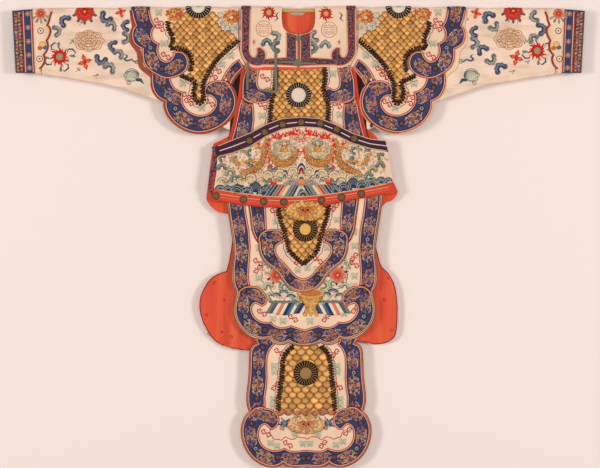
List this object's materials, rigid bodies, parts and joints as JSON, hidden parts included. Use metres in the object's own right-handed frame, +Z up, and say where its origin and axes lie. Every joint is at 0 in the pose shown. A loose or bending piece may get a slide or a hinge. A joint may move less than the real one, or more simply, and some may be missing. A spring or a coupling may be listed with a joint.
{
  "type": "opera armour costume hanging on a rod",
  "caption": "Embroidered stage armour robe with wide sleeves, shoulder guards, padded belt, apron and fish-tail panel, hanging flat on a straight rod",
  "frame": {"origin": "middle of the hanging rod, on its axis", "axes": "+X along the rod to the right of the picture, +Z up, -Y out of the front of the costume towards the viewer"},
  "size_m": [1.802, 0.0636, 1.4547],
  "materials": {
    "cream_silk": "satin silk with a little stitched pattern",
    "indigo_border": "lined satin border, embroidered",
    "purple_brocade": "woven brocade",
    "red_lining": "plain cotton lining",
    "gold_scales": "couched metal thread",
    "dark_side": "plain dark cloth",
    "grey_green_braid": "flat woven braid",
    "pale_mirror": "satin-stitched disc",
    "rod_wood": "varnished round rod"
  },
  "bodies": {
    "root": {"apron": "cream_silk", "apron_border": "indigo_border", "back_body": "red_lining", "back_skirt": "red_lining", "belt": "purple_brocade", "belt_back": "red_lining", "belt_end_strip": "purple_brocade", "belt_hem_band": "red_lining", "belt_mask": "gold_scales", "belt_top_band": "purple_brocade", "chest_border_left": "indigo_border", "chest_border_right": "indigo_border", "chest_mirror": "pale_mirror", "cuff_facing_left": "cream_silk", "cuff_facing_right": "cream_silk", "cuff_inner_band_left": "indigo_border", "cuff_inner_band_right": "indigo_border", "cuff_outer_band_left": "purple_brocade", "cuff_outer_band_right": "purple_brocade", "flap": "cream_silk", "flap_border": "indigo_border", "flap_mirror": "gold_scales", "frog_lower": "grey_green_braid", "frog_upper": "grey_green_braid", "front_body": "cream_silk", "guard_left": "cream_silk", "guard_lower_border_back_left": "indigo_border", "guard_lower_border_back_right": "indigo_border", "guard_lower_border_front_left": "indigo_border", "guard_lower_border_front_right": "indigo_border", "guard_mirror_left": "pale_mirror", "guard_mirror_right": "pale_mirror", "guard_right": "cream_silk", "guard_upper_border_left": "indigo_border", "guard_upper_border_right": "indigo_border", "rod": "rod_wood", "side_gusset_left": "dark_side", "side_gusset_right": "dark_side", "sleeve_left": "cream_silk", "sleeve_right": "cream_silk", "tail": "gold_scales", "tail_border": "indigo_border", "tail_mask": "gold_scales", "tail_mirror": "pale_mirror", "tie_middle": "grey_green_braid", "tie_side": "grey_green_braid", "yoke_back": "cream_silk", "yoke_border_left": "purple_brocade", "yoke_border_right": "purple_brocade", "yoke_left": "cream_silk", "yoke_lining": "red_lining", "yoke_right": "cream_silk"}
  },
  "joints": []
}
